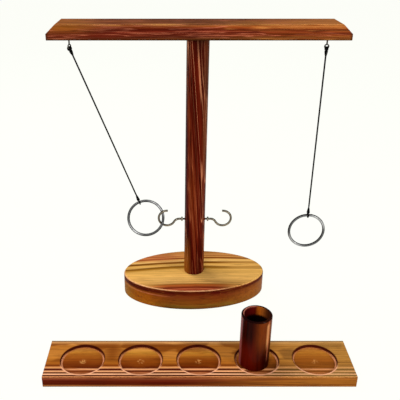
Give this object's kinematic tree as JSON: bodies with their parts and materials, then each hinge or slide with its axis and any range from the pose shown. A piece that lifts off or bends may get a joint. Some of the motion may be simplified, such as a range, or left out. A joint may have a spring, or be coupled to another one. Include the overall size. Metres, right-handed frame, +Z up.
{
  "type": "ring toss set",
  "caption": "Wooden stand with a crossbar, two corded metal rings to swing onto side hooks, and a recessed board that holds a small wooden cup.",
  "frame": {"origin": "on the table plane under the axis of the post", "axes": "+Z up along the post; +X to the right along the crossbar; +Y away from the player who faces the shot board"},
  "size_m": [0.3015, 0.2162, 0.3136],
  "materials": {
    "base_wood": "oiled, torched grain, satin",
    "post_wood": "stained dark mahogany, satin",
    "crossbar_wood": "stained red-brown, satin",
    "board_wood": "oiled, torched grain, satin",
    "cup_wood": "dark lacquer, glossy",
    "plated_steel": "nickel plated",
    "ring_steel": "bright plated wire",
    "zinc_steel": "zinc plated",
    "black_cord": "braided cord, matte"
  },
  "bodies": {
    "stand": {"base_plate": "base_wood", "post": "post_wood", "crossbar": "crossbar_wood", "base_screw": "zinc_steel", "dowel_screw": "zinc_steel", "left_screw_eye": "plated_steel", "right_screw_eye": "plated_steel", "left_hook": "plated_steel", "right_hook": "plated_steel"},
    "left_cord": {"left_eye_loop": "black_cord", "left_string": "black_cord", "left_ring_loop": "black_cord"},
    "left_ring": {"left_ring": "ring_steel"},
    "right_loop": {"right_eye_loop": "black_cord"},
    "right_cord": {"right_eye_knot": "black_cord", "right_string": "black_cord"},
    "right_tie": {"right_ring_loop": "black_cord"},
    "right_ring": {"right_ring": "ring_steel"},
    "board": {"shot_board": "board_wood"},
    "cup": {"shot_cup": "cup_wood"}
  },
  "joints": [
    {"name": "left_ring_release", "type": "hinge", "parent": "stand", "child": "left_cord", "pos_m": [-0.13, 0, 0.28715], "axis": [0, -1, 0], "range_deg": [0, 6.7]},
    {"name": "left_ring_roll", "type": "hinge", "parent": "left_cord", "child": "left_ring", "pos_m": [-0.05637, 0.00017, 0.09492], "axis": [0, -0.788, 0.6157], "continuous": true},
    {"name": "right_side_swing", "type": "hinge", "parent": "stand", "child": "right_loop", "pos_m": [0.13, 0, 0.2892], "axis": [0, -1, 0], "range_deg": [-15, 85]},
    {"name": "right_front_swing", "type": "hinge", "parent": "right_loop", "child": "right_cord", "pos_m": [0.13, 0, 0.28715], "axis": [1, 0, 0], "range_deg": [-80, 80]},
    {"name": "right_ring_twist", "type": "hinge", "parent": "right_cord", "child": "right_tie", "pos_m": [0.13, 0, 0.109], "axis": [0, 0, 1], "continuous": true},
    {"name": "right_ring_rock", "type": "hinge", "parent": "right_tie", "child": "right_ring", "pos_m": [0.13, 0, 0.0984], "axis": [1, 0, 0], "range_deg": [-80, 80]},
    {"name": "board_slide", "type": "slide", "parent": "stand", "child": "board", "axis": [0, -1, 0], "range_m": [0, 0.15]},
    {"name": "cup_lift", "type": "slide", "parent": "board", "child": "cup", "axis": [0, 0, 1], "range_m": [0, 0.12]}
  ]
}
